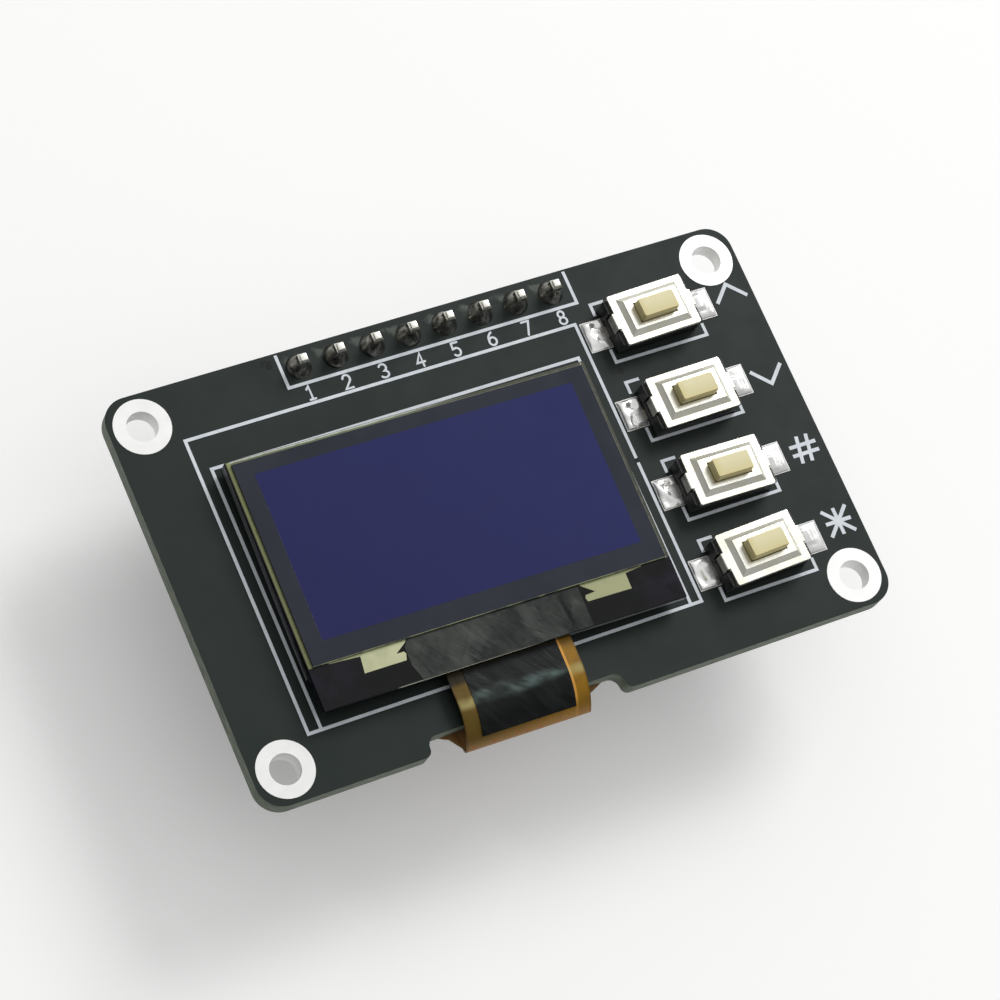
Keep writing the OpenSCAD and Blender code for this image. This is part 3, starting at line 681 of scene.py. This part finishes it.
def ribbon(bm, points, width, z, height, cap=6, rise=0.0008):
    """A flat printed stroke along points, closed or with round ends. It rises a hair on its way,
    so that it can cross itself."""
    pts = [Vector(p).to_2d() for p in points]
    closed = (pts[0] - pts[-1]).length < 1e-6
    if closed:
        pts.pop()
    n = len(pts)
    rings = []
    for i, p in enumerate(pts):
        a = pts[i - 1] if (i or closed) else None
        b = pts[(i + 1) % n] if (i + 1 < n or closed) else None
        d0 = (p - a).normalized() if a is not None else (b - p).normalized()
        d1 = (b - p).normalized() if b is not None else d0
        t = (d0 + d1).normalized()
        nrm = Vector((-t.y, t.x))
        k = width / 2 / max(0.5, nrm.dot(Vector((-d0.y, d0.x))))
        rings.append((p + nrm * k, p - nrm * k))
    low = [[bm.verts.new((q.x, q.y, z + rise * i)) for q in r] for i, r in enumerate(rings)]
    high = [[bm.verts.new((q.x, q.y, z + rise * i + height)) for q in r] for i, r in enumerate(rings)]
    for i in range(n if closed else n - 1):
        j = (i + 1) % n
        bm.faces.new((high[i][0], high[i][1], high[j][1], high[j][0]))
        bm.faces.new((low[i][0], low[j][0], low[j][1], low[i][1]))
        bm.faces.new((low[i][0], high[i][0], high[j][0], low[j][0]))
        bm.faces.new((low[i][1], low[j][1], high[j][1], high[i][1]))
    if closed:
        return
    for i, d, first, last in ((n - 1, pts[-1] - pts[-2], 0, 1), (0, pts[0] - pts[1], 1, 0)):
        start = math.atan2(d.y, d.x) + math.pi / 2
        bow = [start - math.pi * k / cap for k in range(1, cap)]
        bow = [pts[i] + Vector((math.cos(a), math.sin(a))) * width / 2 for a in bow]
        loops = []
        for side, lift in ((low, 0.0), (high, height)):
            middle = [bm.verts.new((q.x, q.y, z + rise * i + lift)) for q in bow]
            loops.append([side[i][first]] + middle + [side[i][last]])
        under, over = loops
        bm.faces.new(over)
        bm.faces.new(under[::-1])
        for k in range(len(over) - 1):
            bm.faces.new((under[k], under[k + 1], over[k + 1], over[k]))


def sheet(bm, cols, rows, point):
    """Adds an open grid from point(u, v), u and v from 0 to 1. Returns its points, row by row."""
    grid = [[bm.verts.new(point(i / cols, j / rows)) for i in range(cols + 1)] for j in range(rows + 1)]
    for a, b in zip(grid, grid[1:]):
        for i in range(cols):
            bm.faces.new((a[i], a[i + 1], b[i + 1], b[i]))
    return grid


def thick_sheet(bm, cols, rows, point, thickness):
    """Adds a closed sheet from point(u, v), thickened downwards."""
    drop = Vector((0, 0, thickness))
    rims = []
    for place in (point, lambda u, v: point(u, v) - drop):
        grid = sheet(bm, cols, rows, place)
        rim = grid[0][:-1] + [row[-1] for row in grid[:-1]]
        rims.append(rim + grid[-1][:0:-1] + [row[0] for row in grid[:0:-1]])
    top, bottom = rims
    for k, a in enumerate(top):
        j = (k + 1) % len(top)
        bm.faces.new((a, bottom[k], bottom[j], top[j]))


def ease(near, far, v):
    """1 up to near, 0 from far on, smooth between."""
    t = min(1.0, max(0.0, (v - near) / (far - near)))
    return 1 - t * t * (3 - 2 * t)


def lumps(x, y, seed, size):
    """Smooth noise over a plane, different for each seed."""
    return noise.noise(Vector((x / size, y / size, seed * 7.31)))


# ---------------------------------------------------------------- header: solder, pins, numbers

def add_pin_solder():
    """Eight solder cones that climb their pins, each a little different."""
    bm = bmesh.new()
    rings, turns, tall = 18, 40, 0.985
    for k in range(PIN_COUNT):
        lean = Vector((lumps(k, 1, 3, 1.7), lumps(k, 2, 5, 1.7))) * 0.2
        belly = 0.05 + 0.05 * lumps(k, 4, 9, 1.3)
        grid = []
        for r in range(rings + 1):
            t = r / rings
            swell = math.sin(math.pi * t)
            base = 0.335 + 0.5 * (1 - t) ** 1.35 + belly * swell
            z = TOP + 0.005 + tall * t
            cx = PIN_X0 + k * PITCH + lean.x * t * (1 - t) * 2
            cy = PIN_Y + lean.y * t * (1 - t) * 2
            row = []
            for s in range(turns):
                a = 2 * math.pi * s / turns
                bump = noise.noise(Vector((math.cos(a) * 1.1, math.sin(a) * 1.1, k * 3.7 + t * 1.2)))
                rad = base * (1 + 0.16 * swell * bump)
                row.append(bm.verts.new((cx + rad * math.cos(a), cy + rad * math.sin(a), z)))
            grid.append(row)
        for a, b in zip(grid, grid[1:]):
            for s in range(turns):
                q = (s + 1) % turns
                bm.faces.new((a[s], a[q], b[q], b[s]))
        bm.faces.new(grid[0][::-1])
        bm.faces.new(grid[-1])
    make_piece("pin_fillets", bm, MAT["dark_solder"], replaces=("pin_solder",))


def arc(cx, cy, rx, ry, a0, a1, n=10):
    """Points along an arc from angle a0 to a1, in degrees."""
    angles = [math.radians(a0 + (a1 - a0) * i / n) for i in range(n + 1)]
    return [(cx + rx * math.cos(a), cy + ry * math.sin(a)) for a in angles]


# Plotter-style numerals, one unit tall
DIGITS = {
    "1": [[(0.12, 0.78), (0.32, 1.0), (0.32, 0.0)], [(0.12, 0.0), (0.52, 0.0)]],
    "2": [arc(0.3, 0.7, 0.26, 0.3, 165, -35) + [(0.04, 0.0), (0.58, 0.0)]],
    "3": [arc(0.28, 0.74, 0.26, 0.26, 150, -85) + arc(0.28, 0.25, 0.29, 0.25, 88, -150)[1:]],
    "4": [[(0.42, 0.0), (0.42, 1.0), (0.02, 0.32), (0.6, 0.32)]],
    "5": [[(0.54, 1.0), (0.1, 1.0), (0.07, 0.56)] + arc(0.29, 0.3, 0.27, 0.3, 110, -145)],
    "6": [arc(0.62, 0.42, 0.56, 0.58, 112, 172, 6) + arc(0.31, 0.29, 0.27, 0.29, 178, 538, 20)],
    "7": [[(0.04, 1.0), (0.58, 1.0), (0.22, 0.0)]],
    "8": [arc(0.3, 0.76, 0.22, 0.24, 0, 360, 18), arc(0.3, 0.26, 0.27, 0.26, 0, 360, 18)],
}


def add_numbers():
    """Plain pin numbers in the row between the printed frames."""
    bm = bmesh.new()
    for k in range(PIN_COUNT):
        cx = PIN_X0 + k * PITCH + 0.02
        for n, stroke in enumerate(DIGITS[str(k + 1)]):
            pts = [(cx + (x - 0.3) * NUMBER_TALL, NUMBER_BASE + y * NUMBER_TALL) for x, y in stroke]
            ribbon(bm, pts, NUMBER_STROKE, TOP + 0.006 * n, 0.022)
    make_piece("pin_numbers", bm, MAT["print_ink"], smooth=30)


add_pin_solder()
add_numbers()
soften("header_pins", 0.03)
soften("header_strip", 0.05)


# ---------------------------------------------------------------- display panel

def add_rim():
    """Bare glass rim beside and above the film."""
    bm = bmesh.new()
    gx, gy = GLASS_X / 2 - 0.04, GLASS_Y / 2 - 0.04
    fx, fy = FILM_X / 2 + 0.01, FILM_HIGH + 0.01
    bars = [
        ((-gx, FILM_LOW), (-gx, gy), (-fx, gy), (-fx, FILM_LOW)),
        ((fx, FILM_LOW), (fx, gy), (gx, gy), (gx, FILM_LOW)),
        ((-fx, fy), (-fx, gy), (fx, gy), (fx, fy)),
    ]
    for bar in bars:
        low, high = ([bm.verts.new(on_panel(x, y, z)) for x, y in bar] for z in (GLASS_Z, GLASS_Z + 0.012))
        prism(bm, low, high)
    make_piece("glass_rim", bm, make_rim())


def torn_end(y):
    """Left end of the ledge's tape at height y."""
    for (y0, x0), (y1, x1) in zip(TAPE_TORN, TAPE_TORN[1:]):
        if y <= y1:
            return x0 + (x1 - x0) * (y - y0) / (y1 - y0)
    return TAPE_TORN[-1][1]


def tape_point(u, v):
    """The creased tape's top: slanting ridges, a lump and a fold near the right end, edges pressed down."""
    y = TAPE_LOW + (TAPE_HIGH - TAPE_LOW) * v
    x0 = torn_end(y)
    x = x0 + (TAPE_RIGHT - x0) * u
    c, s = math.cos(CREASE_TURN), math.sin(CREASE_TURN)
    a, b = x * c + y * s, -x * s + y * c
    ridge = 1 - abs(noise.noise(Vector((a * 0.25, b * 0.85, 1.7)))) * 2
    fine = noise.noise(Vector((a * 0.5, b * 1.8, 4.2)))
    pressed = min(1, min(u, 1 - u, v, 1 - v) * 12)
    lump = math.exp(-((x - 5.0) ** 2 / 0.35 + (y + 7.1) ** 2 / 0.6))
    fold = math.exp(-((x - 4.4 + 0.15 * (y + 7)) ** 2) / 0.02)
    z = (0.035 * max(ridge, 0) ** 2 + 0.012 * fine + 0.05 * lump - 0.02 * fold) * pressed
    return on_panel(x, y, GLASS_Z + 0.04 + max(z, -0.01))


def add_ledge_tape():
    """Tape pressed over the chip on the ledge."""
    bm = bmesh.new()
    thick_sheet(bm, 200, 50, tape_point, 0.03)
    make_piece("ledge_tape_creased", bm, MAT["dark_tape"], smooth=60, replaces=("ledge_tape",))


add_rim()
add_ledge_tape()
soften("front_glass", 0.04)
soften("cap_glass", 0.03)
soften("polarizer", 0.02)


# ---------------------------------------------------------------- switches

for i, row in enumerate(KEY_ROWS):
    place = Matrix.Translation((KEY_X + KEY_SIDE[i], row + KEY_SHIFT[i], TOP))
    local = (place @ Matrix.Rotation(KEY_TURN[i], 4, "Z")).inverted()
    soften(f"cover_{i + 1}", 0.06, 3, local)
    soften(f"button_{i + 1}", 0.12, 5, local)
    soften(f"base_{i + 1}", 0.04)


def mound(bm, i, s):
    """Solder over a foot of switch i: heaped and lumpy on the left (s = -1), thin and smooth on the right."""
    cx, cy = PAD_X + s * PAD_OUT, KEY_ROWS[i] - 0.06
    seed = i * 2 + (s > 0)
    peak = 0.34 if s < 0 else 0.2
    foot = KEY_ROWS[i] + KEY_SHIFT[i] - cy + s * PAD_OUT * KEY_TURN[i]
    on_foot = 0.19

    def point(u, v):
        a, b = 2 * u - 1, 2 * v - 1
        fall = max(0.0, 1 - abs(a) ** 5) ** 0.5 * max(0.0, 1 - abs(b) ** 5) ** 0.5
        x, y = cx + a * 0.77, cy + b * 1.02
        over_foot = ease(0.36, 0.66, abs(b - foot)) * ease(-0.08, 0.5, s * a)
        swell = 0.5 + 0.9 * lumps(x, y, seed, 0.8) + 0.14 * lumps(x, y, seed + 20, 0.4)
        height = (0.07 + 0.2 * swell) if s < 0 else (0.11 + 0.04 * swell)
        height = max(0.02, height) * (1 - over_foot) + on_foot * over_foot
        return Vector((x, y, TOP + 0.03 + min(peak, height) * fall))
    sheet(bm, 36, 44, point)


def add_key_solder():
    """The eight mounds on the switch pads."""
    bm = bmesh.new()
    for i in range(len(KEY_ROWS)):
        for s in (-1, 1):
            mound(bm, i, s)
    make_piece("key_mounds", bm, MAT["bright_solder"], smooth=60, replaces=("key_solder",))


add_key_solder()


# ---------------------------------------------------------------- camera, light, floor

TARGET = Vector((-0.289, 0.269, TOP)) * MM


def add_camera():
    """The photograph's view, fitted to the pins, holes and corners."""
    back = Vector((-0.3833, -0.2582, 0.8868)).normalized()
    distance, roll = 0.2193, math.radians(35.16)
    level = Vector((0, 0, 1)).cross(back).normalized()
    upright = back.cross(level)
    right = level * math.cos(roll) + upright * math.sin(roll)
    up = -level * math.sin(roll) + upright * math.cos(roll)
    data = bpy.data.cameras.new("camera")
    data.sensor_width = 36
    data.lens = 127.53
    data.clip_start, data.clip_end = 0.01, 20
    camera = bpy.data.objects.new("camera", data)
    SCENE.collection.objects.link(camera)
    turn = Matrix((right, up, back)).transposed().to_4x4()
    camera.matrix_world = Matrix.Translation(TARGET + back * distance) @ turn
    SCENE.camera = camera


def add_key_light():
    """One soft lamp from the upper right of the picture."""
    direction, distance = Vector((0.62, 0.44, 0.65)).normalized(), 0.7
    data = bpy.data.lights.new("key", "AREA")
    data.shape = "RECTANGLE"
    data.size = data.size_y = 0.28
    data.energy = 2.4
    lamp = bpy.data.objects.new("key", data)
    SCENE.collection.objects.link(lamp)
    lamp.location = TARGET + direction * distance
    lamp.rotation_mode = "QUATERNION"
    lamp.rotation_quaternion = direction.to_track_quat("Z", "Y")


def make_world():
    """Plain studio surround, brighter on the lamp's side."""
    world = bpy.data.worlds.new("studio")
    world.use_nodes = True
    SCENE.world = world
    tree = world.node_tree
    for n in list(tree.nodes):
        tree.nodes.remove(n)
    nd = Nodes(tree)
    sky = nd.add("ShaderNodeTexCoord").outputs["Generated"]
    tone = nd.smooth(nd.vector("DOT_PRODUCT", sky, (0.6, 0.4, 0.69), "Value"), -0.35, 1.0, 0.06, 0.84)
    surround = nd.add("ShaderNodeBackground", {"Color": (1, 1, 1, 1), "Strength": tone})
    nd.add("ShaderNodeOutputWorld", {0: surround.outputs[0]})


def make_floor_finish():
    """Pale floor that looks a little brighter than it lights, so that its surround comes out white."""
    m, nd, bsdf = new_material("floor_pale", rough=0.9, Emission_Color=(1, 1, 1, 1))
    spots = nd.patches(nd.add("ShaderNodeTexCoord").outputs["Object"], 3.0, 2)
    wire(nd, bsdf, nd.mix(spots, srgb(236, 236, 235), srgb(240, 240, 239)))
    ray = nd.add("ShaderNodeLightPath").outputs
    seen = nd.math("MAXIMUM", ray["Is Glossy Ray"], ray["Is Transmission Ray"])
    seen = nd.math("MAXIMUM", ray["Is Camera Ray"], seen)
    nd.tree.links.new(nd.times(seen, 0.22), bsdf.inputs["Emission Strength"])
    return m


def add_floor():
    """One large plane just under the pin ends."""
    bm = bmesh.new()
    bmesh.ops.create_grid(bm, x_segments=1, y_segments=1, size=1.5)
    mesh = bpy.data.meshes.new("floor")
    bm.to_mesh(mesh)
    bm.free()
    mesh.materials.append(make_floor_finish())
    floor = bpy.data.objects.new("floor", mesh)
    SCENE.collection.objects.link(floor)
    floor.location.z = cad_low.z - 0.0002


add_camera()
add_key_light()
make_world()
add_floor()
SCENE.view_settings.view_transform = "Standard"
